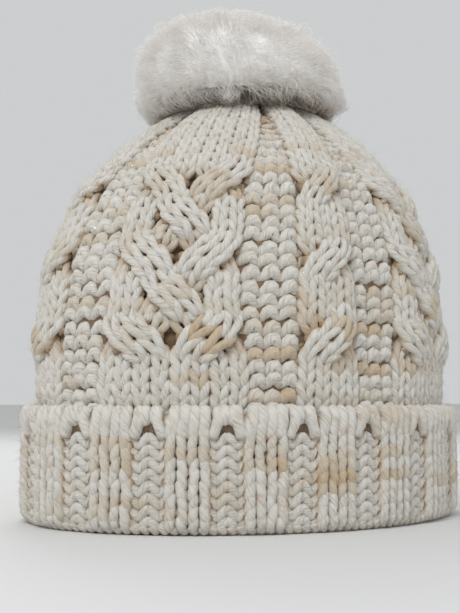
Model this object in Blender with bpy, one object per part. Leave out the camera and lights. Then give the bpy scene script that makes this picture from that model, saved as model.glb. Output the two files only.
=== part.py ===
"""Knit beanie: a cabled body, a folded rib cuff that turns down, and a fur pom-pom that snaps off.

The body is knitted as sixteen upright panels, braids and ropes with purl gutters between them. The
cuff is the same knit folded up on the outside, and it is split at its purl furrows into ribs, each
hinged on the fold. Z is up, X runs along the head's length, and the folded edge rests on z = 0.
All sizes are in millimetres until MM turns them to metres.
"""

import math

import bmesh
import bpy
import numpy as np
from mathutils import Vector

MM = 0.001

# Knit gauge, in stitches.
BRAID_STITCHES = 8
PURL_STITCHES = 3
ROPE_STITCHES = 4
REPEATS = 4
RIB_STITCHES = 4
STITCHES = REPEATS * (BRAID_STITCHES + ROPE_STITCHES + 2 * PURL_STITCHES)
RIBS = STITCHES // RIB_STITCHES

# Overall sizes.
CUFF_LENGTH = 236.0  # outside, along X
CUFF_BREADTH = 184.0  # outside, along Y
CUFF_HEIGHT = 58.0
CROWN_HEIGHT = 222.0  # top of the knit, without the pom-pom
SHOULDER_HEIGHT = 60.0  # where the wall starts to curve in
CROWN_BULGE = 1.0  # how much higher the crown's middle is than the ring where the panels end

# Thickness of the knit.
WALL = 5.5  # plain knit under the cuff
CUFF_THICK = 7.0
FOLD_GAP = 0.8  # between the wall and the cuff turned up over it
BRAID_RAISE = 2.0  # how far a cable stands out from the wall
ROPE_RAISE = 1.5
PURL_SINK = 1.2  # how far a purl gutter lies back from the wall
FURROW = 2.5  # how far the cuff thins from a rib's top to its purl furrow
EDGE_ROUND = 2.2  # rounding of the cuff's fold and of its cast-on edge
SWELL = 9.0  # height above the cuff over which cables swell and gutters sink

# Clearances.
GAP = 0.3  # between pieces that touch on the real hat
FLOOR_GAP = 0.35  # under the cuff, so that the wall alone stands on the floor
SIDE_GAP = 0.35  # between two ribs once they are turned right down

# Crown and press stud. Heights here are above the pivot, the middle of the crown gather.
CROWN_HOLE = 10.5  # radius where the panels end round the gather
GATHER_THICK = 8.4
POST_RADIUS = 1.5
POST_HEAD = 2.6
PLATE_THICK = 1.2
PLATE_SEAT = 5.4  # from the pivot to the near face of the stud's flange and of the washer
FLANGE_RADIUS = 6.0
WASHER_RADIUS = 9.0
BALL_RADIUS = 2.2
BALL_HEIGHT = 3.3  # from the flange to the top of the ball
BALL_STEPS = ((1.5, 1.0), (0.7, 1.0), (0.1, 0.6))  # depth below its top, share of its radius
NECK_DEPTH = 2.0  # below the ball's top, where the post starts to swell into it
NECK_RADIUS = 1.6
SOCKET_RADIUS = 7.5
SOCKET_THICK = 4.0
SPRING_WIRE = 0.8
SPRING_RADIUS = 3.2

# Pom-pom.
POM_WIDTH = 106.0
POM_TOP = 265.5  # above the floor
POM_TILT = 8.0  # degrees that it flops each way, fore and aft and sideways
POM_CLEARANCE = 1.2  # left over the crown when it has flopped right over
HEM_WIDTH = 0.9  # share of the full width, where the underside turns up into the sides
BELLY = 0.42  # share of the height from hem to top, where the pom-pom is widest
CORE_WIDTH = 72.0
CORE_HEIGHT = 30.4
CORE_GAP = 0.6  # between the filling and the fur's backing
DRAWSTRING = 2.6

# Derived sizes.
HALF_LENGTH = CUFF_LENGTH / 2 - CUFF_THICK - FOLD_GAP - WALL  # of the oval that the head fills
HALF_BREADTH = CUFF_BREADTH / 2 - CUFF_THICK - FOLD_GAP - WALL
OVALNESS = 1 - HALF_BREADTH / HALF_LENGTH
INNER_HEIGHT = CROWN_HEIGHT - WALL - BRAID_RAISE + CROWN_BULGE
FOLD_OFFSET = WALL + FOLD_GAP / 2  # the fold's axis, outward from the inner oval
DOME_POWER = 3.0
DOME_ROUNDING = 0.75


def clear_scene():
    for obj in list(bpy.data.objects):
        bpy.data.objects.remove(obj, do_unlink=True)


def finish(name, colour, roughness=0.9, metallic=0.0):
    material = bpy.data.materials.new(name)
    material.use_nodes = True
    shader = material.node_tree.nodes["Principled BSDF"]
    shader.inputs["Base Color"].default_value = (*colour, 1.0)
    shader.inputs["Roughness"].default_value = roughness
    shader.inputs["Metallic"].default_value = metallic
    return material


def add_object(name, mesh, material):
    for polygon in mesh.polygons:
        polygon.use_smooth = True
    mesh.set_sharp_from_angle(angle=math.radians(40))
    mesh.materials.append(material)
    obj = bpy.data.objects.new(name, mesh)
    bpy.context.scene.collection.objects.link(obj)
    return obj


def lofted(name, rings, material):
    """A closed solid through rings of points, each ring counter-clockwise seen from its far end."""
    bm = bmesh.new()
    loops = [[bm.verts.new(Vector(point) * MM) for point in ring] for ring in rings]
    count = len(loops[0])
    for low, high in zip(loops, loops[1:]):
        for i in range(count):
            j = (i + 1) % count
            bm.faces.new((low[i], low[j], high[j], high[i]))
    bm.faces.new(reversed(loops[0]))
    bm.faces.new(loops[-1])
    bmesh.ops.triangulate(bm, faces=[face for face in bm.faces if len(face.verts) > 4])
    bmesh.ops.recalc_face_normals(bm, faces=bm.faces)
    mesh = bpy.data.meshes.new(name)
    bm.to_mesh(mesh)
    bm.free()
    return add_object(name, mesh, material)


def turned(name, profile, material, closed=True, steps=32):
    """A solid of revolution about Z from (radius, height) points, heights above the pivot."""
    bm = bmesh.new()
    line = [bm.verts.new(Vector((radius, 0, PIVOT + height)) * MM) for radius, height in profile]
    pairs = list(zip(line, line[1:]))
    if closed:
        pairs.append((line[-1], line[0]))
    edges = [bm.edges.new(pair) for pair in pairs]
    bmesh.ops.spin(
        bm,
        geom=line + edges,
        cent=(0, 0, 0),
        axis=(0, 0, 1),
        angle=2 * math.pi,
        steps=steps,
        use_merge=True,
    )
    bmesh.ops.remove_doubles(bm, verts=bm.verts, dist=1e-6)
    bmesh.ops.recalc_face_normals(bm, faces=bm.faces)
    mesh = bpy.data.meshes.new(name)
    bm.to_mesh(mesh)
    bm.free()
    return add_object(name, mesh, material)


def circle_profile(radius, height, thick, count):
    """A ring's round cross-section, centred at this radius and height."""
    angles = [2 * math.pi * i / count for i in range(count)]
    half = thick / 2
    return [(radius + half * math.cos(a), height + half * math.sin(a)) for a in angles]


# The inner oval, measured by stitches from the middle of the front.
ANGLE_TABLE = np.linspace(-math.pi / 2, 1.5 * math.pi, 1441)
CHORDS = np.hypot(
    np.diff(HALF_LENGTH * np.cos(ANGLE_TABLE)), np.diff(HALF_BREADTH * np.sin(ANGLE_TABLE))
)
STITCH_TABLE = np.concatenate([[0], np.cumsum(CHORDS)]) / CHORDS.sum() * STITCHES


def angle_at(stitch):
    turns, rest = divmod(stitch, STITCHES)
    return float(np.interp(rest, STITCH_TABLE, ANGLE_TABLE)) + 2 * math.pi * turns


# The meridian, from the folded edge to the crown: share of the full width against height.
DOME_STEPS = 1 - (1 - np.linspace(0, 1, 401)) ** 2
MERIDIAN_WIDTH = np.concatenate([[1.0], (1 - DOME_STEPS**DOME_POWER) ** DOME_ROUNDING])
MERIDIAN_HEIGHT = np.concatenate(
    [[0.0], SHOULDER_HEIGHT + DOME_STEPS * (INNER_HEIGHT - SHOULDER_HEIGHT)]
)
MERIDIAN_LENGTH = np.concatenate(
    [[0], np.cumsum(np.hypot(np.diff(MERIDIAN_WIDTH * HALF_LENGTH), np.diff(MERIDIAN_HEIGHT)))]
)
CROWN_END = float(np.interp(-CROWN_HOLE / HALF_LENGTH, -MERIDIAN_WIDTH, MERIDIAN_LENGTH))
PIVOT = float(np.interp(CROWN_END, MERIDIAN_LENGTH, MERIDIAN_HEIGHT)) + GAP


def wall_point(stitch, length):
    """A point of the wall's inner face: stitches round, and length up the meridian."""
    width = float(np.interp(length, MERIDIAN_LENGTH, MERIDIAN_WIDTH))
    height = float(np.interp(length, MERIDIAN_LENGTH, MERIDIAN_HEIGHT))
    angle = angle_at(stitch)
    narrow = 1 - OVALNESS * width**2
    across = HALF_LENGTH * width
    return Vector((across * math.cos(angle), across * narrow * math.sin(angle), height))


def wall_frame(stitch, length):
    """Point, direction round the hat and outward normal there."""
    step = 0.4
    low, high = max(length - step, 0.0), min(length + step, CROWN_END + 2.0)
    along = (wall_point(stitch + 0.05, length) - wall_point(stitch - 0.05, length)).normalized()
    up = (wall_point(stitch, high) - wall_point(stitch, low)).normalized()
    return wall_point(stitch, length), along, along.cross(up).normalized()


def crown_height(radius):
    """Height of the knit's outer face above the pivot, along X where it is highest."""
    radii, heights = [], []
    for i in range(41):
        point, _, normal = wall_frame(STITCHES / REPEATS, CROWN_END * (1 - i / 80))
        point = point + normal * (WALL + BRAID_RAISE)
        radii.append(point.x)
        heights.append(point.z - PIVOT)
    return float(np.interp(radius, radii, heights))


def eased(value):
    value = min(max(value, 0.0), 1.0)
    return value * value * (3 - 2 * value)


def body_panel(name, first, stitches, raise_by, material):
    """One upright panel of the body, from the folded edge to the crown gather."""
    count = max(2, round(stitches / 2))
    stations = [first + stitches * i / count for i in range(count + 1)]
    low = CUFF_HEIGHT + GAP
    swollen = low + SWELL
    lengths = [0.0, low / 2, low + 1, swollen]
    lengths += [swollen + (CROWN_END - swollen) * i / 9 for i in range(1, 10)]
    rings = []
    for length in lengths:
        above = eased((length - low) / SWELL)
        outer, inner = [], []
        for i, stitch in enumerate(stations):
            point, along, normal = wall_frame(stitch, length)
            side = (i == 0) - (i == count)
            point = point + along * side * GAP / 2
            edge = i in (0, count)
            proud = (0.0 if edge and raise_by > 0 else raise_by) * above
            outer.append(point + normal * (WALL + proud))
            inner.append(point)
        rings.append(outer + inner[::-1])
    return lofted(name, rings, material)


def fold_frame(rib):
    """Middle of a rib's hinge on the fold, the way along it, and outward."""
    point, along, normal = wall_frame(rib * RIB_STITCHES, 0.0)
    return point + normal * FOLD_OFFSET, along, normal


def side_limit(rib, side):
    """Distance along a rib's hinge to where its neighbour's crosses it, and the lean there."""
    here, along, normal = fold_frame(rib)
    there, other_along, other_normal = fold_frame(rib + side)
    reach = (there - here).dot(other_normal) / along.dot(other_normal)
    return abs(reach), math.tan(along.angle(other_along) / 2)


def cuff_rib(name, rib, material):
    """One rib of the cuff: two knit wales, with half a purl furrow on each side."""
    hinge, along, normal = fold_frame(rib)
    limits = {side: side_limit(rib, side) for side in (-1, 1)}
    shares = (-1.0, -0.55, 0.0, 0.55, 1.0)
    full = WALL + FOLD_GAP
    levels = (
        (FLOOR_GAP, EDGE_ROUND),
        (FLOOR_GAP + EDGE_ROUND, 0.0),
        (CUFF_HEIGHT - EDGE_ROUND, 0.0),
        (CUFF_HEIGHT, EDGE_ROUND),
    )

    def place(share, offset, height):
        point, _, outward = wall_frame((rib + share / 2) * RIB_STITCHES, 0.0)
        point = point + outward * offset
        across = (point - hinge).dot(along)
        out = (point - hinge).dot(normal)
        if abs(share) == 1.0:
            reach, lean = limits[int(share)]
            across = math.copysign(reach - abs(out) * lean - SIDE_GAP, share)
        return hinge + along * across + normal * out + Vector((0, 0, height))

    rings = []
    for height, rounding in levels:
        outer, inner = [], []
        for share in shares:
            thick = CUFF_THICK - (FURROW if abs(share) == 1.0 else 0.0)
            outer.append(place(share, full + thick - rounding, height))
            inner.append(place(share, full + rounding / 2, height))
        rings.append(outer + inner[::-1])
    return lofted(name, rings, material)


def make_body(knit):
    places = ("front", "right", "back", "left")
    corners = ("front_right", "back_right", "back_left", "front_left")
    half_rope = ROPE_STITCHES / 2
    for i in range(REPEATS):
        middle = i * STITCHES / REPEATS
        body_panel(f"rope_panel_{places[i]}", middle - half_rope, ROPE_STITCHES, ROPE_RAISE, knit)
        start = middle + half_rope
        body_panel(f"purl_panel_{2 * i + 1}", start, PURL_STITCHES, -PURL_SINK, knit)
        start += PURL_STITCHES
        body_panel(f"braid_panel_{corners[i]}", start, BRAID_STITCHES, BRAID_RAISE, knit)
        start += BRAID_STITCHES
        body_panel(f"purl_panel_{2 * i + 2}", start, PURL_STITCHES, -PURL_SINK, knit)


def make_cuff(knit):
    for rib in range(RIBS):
        cuff_rib(f"cuff_rib_{rib + 1:02d}", rib, knit)


def make_press_stud(yarn, metal):
    """The yarn that draws the crown in, and the press stud that holds the pom-pom to it."""
    ring = CROWN_HOLE - GAP - GATHER_THICK / 2
    turned("crown_gather", circle_profile(ring, 0, GATHER_THICK, 12), yarn)
    seat = PLATE_SEAT
    flange_top = seat + PLATE_THICK
    washer_low = -seat - PLATE_THICK
    ball_top = flange_top + BALL_HEIGHT
    profile = [
        (0, washer_low - GAP - PLATE_THICK),
        (POST_HEAD, washer_low - GAP - PLATE_THICK),
        (POST_HEAD, washer_low - GAP),
        (POST_RADIUS, washer_low - GAP),
        (POST_RADIUS, seat),
        (FLANGE_RADIUS, seat),
        (FLANGE_RADIUS, flange_top),
        (NECK_RADIUS, flange_top),
        (NECK_RADIUS, ball_top - NECK_DEPTH),
        *((BALL_RADIUS * share, ball_top - depth) for depth, share in BALL_STEPS),
        (0, ball_top),
    ]
    turned("snap_stud", profile, metal, closed=False, steps=24)
    hole = POST_RADIUS + GAP
    edge = WASHER_RADIUS
    washer = [(hole, washer_low), (edge, washer_low), (edge, -seat), (hole, -seat)]
    turned("snap_washer", washer, metal, steps=24)

    bore = BALL_RADIUS + GAP
    low = flange_top + GAP
    middle = low + SOCKET_THICK / 2
    groove = SPRING_RADIUS + SPRING_WIRE / 2 + GAP
    socket = [
        (bore, low),
        (SOCKET_RADIUS, low),
        (SOCKET_RADIUS, low + SOCKET_THICK),
        (bore, low + SOCKET_THICK),
        (bore, middle + SPRING_WIRE),
        (groove, middle + SPRING_WIRE),
        (groove, middle - SPRING_WIRE),
        (bore, middle - SPRING_WIRE),
    ]
    turned("snap_socket", socket, metal, steps=24)
    wire = circle_profile(SPRING_RADIUS, middle, SPRING_WIRE, 6)
    turned("snap_spring", wire, metal, steps=20)


def make_pompom(fur, filling, yarn):
    """Fur skin gathered by its drawstring round a ball of filling."""
    socket_low = PLATE_SEAT + PLATE_THICK + GAP
    socket_top = socket_low + SOCKET_THICK
    string_radius = SOCKET_RADIUS + GAP + DRAWSTRING / 2
    string_height = socket_top - DRAWSTRING / 2
    string = circle_profile(string_radius, string_height, DRAWSTRING, 8)
    turned("pompom_drawstring", string, yarn)

    core_middle = socket_top + GAP + CORE_HEIGHT / 2
    core_half = CORE_WIDTH / 2
    steps = [math.pi * i / 10 - math.pi / 2 for i in range(11)]
    core = [(core_half * math.cos(a), core_middle + CORE_HEIGHT / 2 * math.sin(a)) for a in steps]
    core[0], core[-1] = (0, core[0][1]), (0, core[-1][1])
    turned("pompom_filling", core, filling, closed=False, steps=24)

    mouth = string_radius + DRAWSTRING / 2 + GAP
    wide, tall = core_half + CORE_GAP, CORE_HEIGHT / 2 + CORE_GAP
    start = -math.acos(mouth / wide)
    inner = [start + (math.pi / 2 - start) * i / 9 for i in range(10)]
    pocket = [(wide * math.cos(a), core_middle + tall * math.sin(a)) for a in inner]
    pocket[-1] = (0, pocket[-1][1])

    half = POM_WIDTH / 2
    flop = math.tan(math.radians(POM_TILT) * math.sqrt(2))
    radii = [mouth + (half * HEM_WIDTH - mouth) * i / 4 for i in range(5)]
    lowest = crown_height(0) + POM_CLEARANCE
    under = [(r, max(crown_height(r) + r * flop + POM_CLEARANCE, lowest)) for r in radii]
    top = POM_TOP - PIVOT
    hem = under[-1][1]
    belly = hem + (top - hem) * BELLY
    upper = [math.pi / 2 * (1 - i / 8) for i in range(9)]
    crown = [(half * math.cos(a), belly + (top - belly) * math.sin(a)) for a in upper]
    crown[0] = (0, top)
    cheek = half - radii[-1]
    lower = [math.pi / 2 * i / 3 for i in (1, 2)]
    side = [(radii[-1] + cheek * math.cos(a), belly - (belly - hem) * math.sin(a)) for a in lower]
    turned("pompom_fur", crown + side + under[::-1] + pocket, fur, closed=False)


def main():
    clear_scene()
    knit = finish("chunky cream yarn", (0.72, 0.68, 0.60))
    yarn = finish("gathering yarn", (0.70, 0.66, 0.58))
    fur = finish("long-pile faux fur", (0.80, 0.79, 0.76), 1.0)
    filling = finish("polyester filling", (0.85, 0.85, 0.85), 1.0)
    metal = finish("nickel-plated snap", (0.62, 0.61, 0.58), 0.3, 1.0)
    make_body(knit)
    make_cuff(knit)
    make_press_stud(yarn, metal)
    make_pompom(fur, filling, yarn)


main()
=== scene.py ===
# %% [markdown]
# # A cable-knit beanie with a fur pom-pom
# The real hat is knitted from thick, loosely spun yarn: a body of braids and ropes with purl
# gutters between them, a ribbed cuff that is folded up on the outside, and a faux fur pom-pom
# held by a press stud. The fixed model holds the plain solids. This lesson knits over them, loop
# by loop, so that the light finds real yarn, real gaps and real hair.

# %% Tools and the fixed model
import math

import bpy
import numpy as np
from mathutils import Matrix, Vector


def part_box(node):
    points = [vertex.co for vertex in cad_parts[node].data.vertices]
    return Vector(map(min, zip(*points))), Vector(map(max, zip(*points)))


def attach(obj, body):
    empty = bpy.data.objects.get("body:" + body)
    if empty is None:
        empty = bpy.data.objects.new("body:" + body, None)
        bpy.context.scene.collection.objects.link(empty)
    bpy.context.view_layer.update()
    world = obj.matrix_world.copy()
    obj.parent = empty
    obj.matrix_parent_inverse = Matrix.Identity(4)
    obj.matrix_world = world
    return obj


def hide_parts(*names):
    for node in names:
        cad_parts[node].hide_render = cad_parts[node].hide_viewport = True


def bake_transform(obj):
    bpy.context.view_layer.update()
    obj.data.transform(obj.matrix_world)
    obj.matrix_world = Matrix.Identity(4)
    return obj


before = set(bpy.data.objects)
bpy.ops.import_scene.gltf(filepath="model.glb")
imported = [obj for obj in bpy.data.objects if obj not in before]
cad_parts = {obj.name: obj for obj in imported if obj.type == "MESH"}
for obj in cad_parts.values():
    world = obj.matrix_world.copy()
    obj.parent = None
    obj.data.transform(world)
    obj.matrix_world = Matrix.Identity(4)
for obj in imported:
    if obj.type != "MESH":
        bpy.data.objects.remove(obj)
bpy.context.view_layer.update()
bpy.ops.object.select_all(action="DESELECT")
MM = 0.001
rng = np.random.default_rng(7)

# %% [markdown]
# ## The camera
# The hat is seen a little from its left, from just above the cuff, so the camera stands low and
# looks slightly up. A long lens from 60 cm away keeps the cuff's near side from swelling.

# %% Camera
CAMERA_TURN = math.radians(-27)
CAMERA_DISTANCE = 600 * MM
CAMERA_HEIGHT = 60 * MM
AIM_HEIGHT = 109 * MM
AIM_ASIDE = -8 * MM
LENS = 66.8

ahead = Vector((math.sin(CAMERA_TURN), -math.cos(CAMERA_TURN), 0))
aside = Vector((math.cos(CAMERA_TURN), math.sin(CAMERA_TURN), 0))
aim = aside * AIM_ASIDE + Vector((0, 0, AIM_HEIGHT))
eye = ahead * CAMERA_DISTANCE + aside * AIM_ASIDE + Vector((0, 0, CAMERA_HEIGHT))
bpy.ops.object.camera_add(location=eye, rotation=(aim - eye).to_track_quat("-Z", "Y").to_euler())
camera = bpy.context.object
camera.data.lens = LENS
camera.data.sensor_width = 36
bpy.context.scene.camera = camera
print("camera at", [round(c, 3) for c in eye])

# %% [markdown]
# ## Sizes of the knit
# These repeat the plain model's sizes, in millimetres, because the loops have to lie on the same
# surface. The oval is the inner face of the wall. Stitches are counted round it from the middle of
# the front, and rows are counted up the meridian, the line from the folded edge to the crown.

# %% Sizes
STITCHES = 72
RIBS = 18
HALF_LENGTH, HALF_BREADTH = 104.7, 78.7
WALL = 5.5
CUFF_THICK = 7.0
FOLD_GAP = 0.8  # between the wall and the cuff
CUFF_INNER = WALL + FOLD_GAP
CUFF_OUTER = CUFF_INNER + CUFF_THICK
SHOULDER_HEIGHT, INNER_HEIGHT = 60.0, 215.5
CROWN_HOLE = 10.5
OVALNESS = 1 - HALF_BREADTH / HALF_LENGTH
ROW = 6.2  # height of one row of loops
CUFF_ROW = 5.3
YARN = 2.3  # half the thickness of the yarn where it lies in a loop

angles = np.linspace(-math.pi / 2, 1.5 * math.pi, 1441)
chords = np.hypot(np.diff(HALF_LENGTH * np.cos(angles)), np.diff(HALF_BREADTH * np.sin(angles)))
stitch_table = np.concatenate([[0], np.cumsum(chords)]) / chords.sum() * STITCHES
dome = 1 - (1 - np.linspace(0, 1, 401)) ** 2
meridian_width = np.concatenate([[1.0], (1 - dome**3) ** 0.75])
meridian_height = np.concatenate([[0.0], SHOULDER_HEIGHT + dome * (INNER_HEIGHT - SHOULDER_HEIGHT)])
meridian_steps = np.hypot(np.diff(meridian_width * HALF_LENGTH), np.diff(meridian_height))
meridian_length = np.concatenate([[0], np.cumsum(meridian_steps)])
CROWN_END = float(np.interp(-CROWN_HOLE / HALF_LENGTH, -meridian_width, meridian_length))
PIVOT = float(np.interp(CROWN_END, meridian_length, meridian_height)) + 0.3
print("meridian to the crown", round(CROWN_END, 1), "mm; pivot", round(PIVOT, 2))


# %% A place on the knit
def unit(vectors):
    return vectors / np.maximum(np.linalg.norm(vectors, axis=-1, keepdims=True), 1e-9)


def inner_face(stitch, length):
    """Points of the wall's inner face, for stitches round and millimetres up the meridian."""
    turns, rest = np.divmod(stitch, STITCHES)
    angle = np.interp(rest, stitch_table, angles) + 2 * math.pi * turns
    width = np.interp(length, meridian_length, meridian_width)
    height = np.interp(length, meridian_length, meridian_height)
    across = HALF_LENGTH * width
    narrow = 1 - OVALNESS * width**2
    return np.stack([across * np.cos(angle), across * narrow * np.sin(angle), height], axis=-1)


def outward(stitch, length):
    """Unit normals of the wall there."""
    low, high = np.maximum(length - 0.5, 0), np.minimum(length + 0.5, meridian_length[-1] - 2)
    round_hat = inner_face(stitch + 0.05, length) - inner_face(stitch - 0.05, length)
    up = inner_face(stitch, high) - inner_face(stitch, np.minimum(low, high - 0.5))
    return unit(np.cross(round_hat, up))


def stitch_size(length):
    """Millimetres from one stitch to the next, at the wall's outer face."""
    width = np.interp(length, meridian_length, meridian_width)
    girth = chords.sum() * width * (1 + 0.06 * (1 - width)) + 2 * math.pi * WALL
    return girth / STITCHES


print("a stitch is", round(float(stitch_size(60)), 2), "mm wide above the cuff")


# %% [markdown]
# ## Yarn
# A loop of yarn is a round tube that follows a line. Blender's curves could sweep it, but the hat
# has some two thousand loops, so one function sweeps all of a piece's loops at once. It also keeps
# what the yarn's material needs: the way along and round each strand, as a UV map, how much
# painted shade a point gets, mostly from how deep it lies in the knit, and where the strand is in
# the long run of yarn, for its marled colour.

# %% Sweeping many strands at once
def eased(value):
    value = np.clip(value, 0, 1)
    return value * value * (3 - 2 * value)


def smooth_line(points, count):
    """A smooth line of count points through a few (a Catmull-Rom spline)."""
    points = np.asarray(points, float)
    ends = np.concatenate([[2 * points[0] - points[1]], points, [2 * points[-1] - points[-2]]])
    steps = np.linspace(0, len(points) - 1, count)
    piece = np.minimum(steps.astype(int), len(points) - 2)
    t = (steps - piece)[:, None]
    a, b, c, d = (ends[piece + i] for i in range(4))
    square, cube = 2 * a - 5 * b + 4 * c - d, 3 * b - a - 3 * c + d
    return 0.5 * (2 * b + (c - a) * t + square * t**2 + cube * t**3)


PALER_CROWN = 0.7  # how much of the tan is missing at the top of the crown
PALER_FROM, PALER_OVER = 150, 50  # it fades from this height, over this many millimetres
UNEVEN = 0.05  # how much the yarn thickens and thins along its length
RUN_MM = 20  # how much yarn one stitch of the long run takes


def marl_along(run):
    """How tan the yarn is, 0 to 1, at a place in its long run, measured in stitches."""
    shade = np.zeros_like(run)
    for scale, weight in ((17.0, 0.42), (5.3, 0.36), (1.3, 0.22)):
        cell = run / scale
        low = np.floor(cell)
        mix = eased(cell - low)
        first, second = (
            np.modf(np.abs(np.sin((low + i) * 12.9898 + scale) * 43758.5453))[0] for i in (0, 1)
        )
        shade += weight * (first * (1 - mix) + second * mix)
    return eased((shade - 0.51) / 0.4)


def sweep(lines, faces_out, radius, depth, run, sides=8):
    """Closed round tubes along lines of shape (strands, points, 3), in millimetres."""
    strands, count = lines.shape[:2]
    paler = eased((lines[..., 2] - PALER_FROM) / PALER_OVER)
    radius, depth, run = (np.broadcast_to(v, (strands, count)) for v in (radius, depth, run))
    tangent = unit(np.gradient(lines, axis=1))
    across = np.empty_like(lines)
    guide = faces_out[:, 0]
    for i in range(count):
        along = tangent[:, i]
        guide = unit(guide - (guide * along).sum(-1, keepdims=True) * along)
        across[:, i] = guide
    other = np.cross(tangent, across)
    turn = np.linspace(0, 2 * math.pi, sides, endpoint=False) + math.pi
    radius = radius * (1 + UNEVEN * np.sin(run * 9.7 + np.arange(count) * 1.9))
    ring = np.cos(turn)[:, None] * across[:, :, None] + np.sin(turn)[:, None] * other[:, :, None]
    verts = lines[:, :, None] + ring * radius[:, :, None, None]
    # The painted shade: the far side of a deep strand is near the cloth's other face, so it gets less
    # of it, and each strand's sides and back, which face into the knit, get a little more.
    facing = np.cos(turn)
    seen = np.clip(0.25 + 1.2 * facing, 0.1, 1)
    start = np.arange(strands)[:, None, None] * count * sides
    i = np.arange(count - 1)[None, :, None] * sides
    j = np.arange(sides)[None, None, :]
    k = (j + 1) % sides
    quads = np.stack([start + i + j, start + i + k, start + i + sides + k, start + i + sides + j], -1)
    far = (count - 1) * sides
    caps = np.stack([start[:, 0] + j[0, :, ::-1], start[:, 0] + far + j[0]], 1)
    length = np.linalg.norm(np.diff(lines, axis=1), axis=-1)
    length = np.concatenate([np.zeros((strands, 1)), np.cumsum(length, 1)], 1)
    length = length + run[:, :1] * RUN_MM
    low, high = length[:, :-1, None], length[:, 1:, None]
    low, high, turns, more = (
        np.broadcast_to(a, quads.shape[:3]) for a in (low, high, j / sides, (j + 1) / sides)
    )
    corners = ((low, turns), (low, more), (high, more), (high, turns))
    uv = np.stack([np.stack(corner, -1) for corner in corners], -2)
    return {
        "verts": verts.reshape(-1, 3),
        "quads": quads.reshape(-1, 4),
        "caps": caps.reshape(-1, sides),
        "uv": uv.reshape(-1, 2),
        "depth": np.clip(depth[..., None] * seen + 0.24 * (1 - facing) / 2, 0, 1).reshape(-1),
        "marl": np.repeat((marl_along(run) * (1 - PALER_CROWN * paler)).reshape(-1), sides),
        "out": ring.reshape(-1, 3),
    }


# %% Making a mesh object from swept strands
def as_object(name, parts, material, smooth=True):
    """One object of all the parts, in metres, with its UV map and its attributes."""
    verts = np.concatenate([p["verts"] for p in parts]) * MM
    first = np.cumsum([0] + [len(p["verts"]) for p in parts])[:-1]
    corners, totals, uv = [], [], []
    for part, base in zip(parts, first):
        corners += [(part["quads"] + base).ravel(), (part["caps"] + base).ravel()]
        totals += [np.full(len(part["quads"]), 4), np.full(len(part["caps"]), part["caps"].shape[1])]
        uv += [part["uv"], np.zeros((part["caps"].size, 2))]
    corners, totals, uv = (np.concatenate(a) for a in (corners, totals, uv))
    mesh = bpy.data.meshes.new(name)
    mesh.vertices.add(len(verts))
    mesh.vertices.foreach_set("co", verts.ravel())
    mesh.loops.add(len(corners))
    mesh.loops.foreach_set("vertex_index", corners.astype(np.int32))
    mesh.polygons.add(len(totals))
    mesh.polygons.foreach_set("loop_start", (np.cumsum(totals) - totals).astype(np.int32))
    mesh.polygons.foreach_set("use_smooth", np.full(len(totals), smooth))
    mesh.update(calc_edges=True)
    mesh.uv_layers.new(name="strand").data.foreach_set("uv", uv.ravel())
    for key in ("depth", "marl"):
        values = np.concatenate([p[key] for p in parts]).astype(np.float32)
        mesh.attributes.new(key, "FLOAT", "POINT").data.foreach_set("value", values)
    mesh.materials.append(material)
    obj = bpy.data.objects.new(name, mesh)
    bpy.context.scene.collection.objects.link(obj)
    print(f"{name}: {int((totals - 2).sum())} triangles")
    return obj


# %% [markdown]
# ## Materials
# The yarn is a soft wool blend, loosely spun and marled: cream, with stretches of tan and a few
# pinkish flecks. Its fibres lie along the strand in a slow twist and stand off it as a faint fuzz,
# so it is fully rough with a pale sheen at grazing angles. Light that gets between the loops
# bounces from yarn to yarn and comes back warm, so deep places are painted brown: painted shade.
# The low places of the fibre streaks are painted a little darker too, as painted shade.

# %% Colours and one helper for nodes
def linear(code):
    """An sRGB hex colour as linear RGBA."""
    parts = [int(code[i : i + 2], 16) / 255 for i in (1, 3, 5)]
    return tuple(c / 12.92 if c <= 0.04045 else ((c + 0.055) / 1.055) ** 2.4 for c in parts) + (1.0,)


def new_material(name):
    material = bpy.data.materials.new(name)
    material.use_nodes = True
    material.node_tree.nodes.clear()
    return material.node_tree


def add_node(tree, kind, settings=None, stops=(), **inputs):
    """Adds a node with its settings. An input is a value, or an output socket to link from.

    Stops are a colour ramp's places and hex colours, from the first place to the last.
    """
    node = tree.nodes.new(kind)
    for key, value in (settings or {}).items():
        setattr(node, key, value)
    for i, (place, code) in enumerate(stops):
        elements = node.color_ramp.elements
        element = elements.new(place) if 0 < i < len(stops) - 1 else elements[0 if i == 0 else -1]
        element.position = place
        element.color = linear(code)
    for key, value in inputs.items():
        socket = node.inputs[int(key[1:])] if key[0] == "_" else node.inputs[key.replace("_", " ")]
        if isinstance(value, bpy.types.NodeSocket):
            tree.links.new(value, socket)
        else:
            socket.default_value = value
    return node


# %% Yarn
TWIST_MM = 13.0  # length of one turn of the strand's plies
FIBRE_MM = 9.0  # length of the streaks that its fibres make
STREAKS = 14  # streaks side by side round the strand
FLECK_MM = 5.0  # size of the pinkish flecks
GLINT_MM = 2.2  # from one possible glint of the metallic filament to the next, coarser than real
GLINT_DOT = 0.1  # radius of a glint, as a share of that
GLINT_NONE = 0.72  # share of those places where the filament is hidden
PLIES = 3  # thinner strands twisted together


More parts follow.
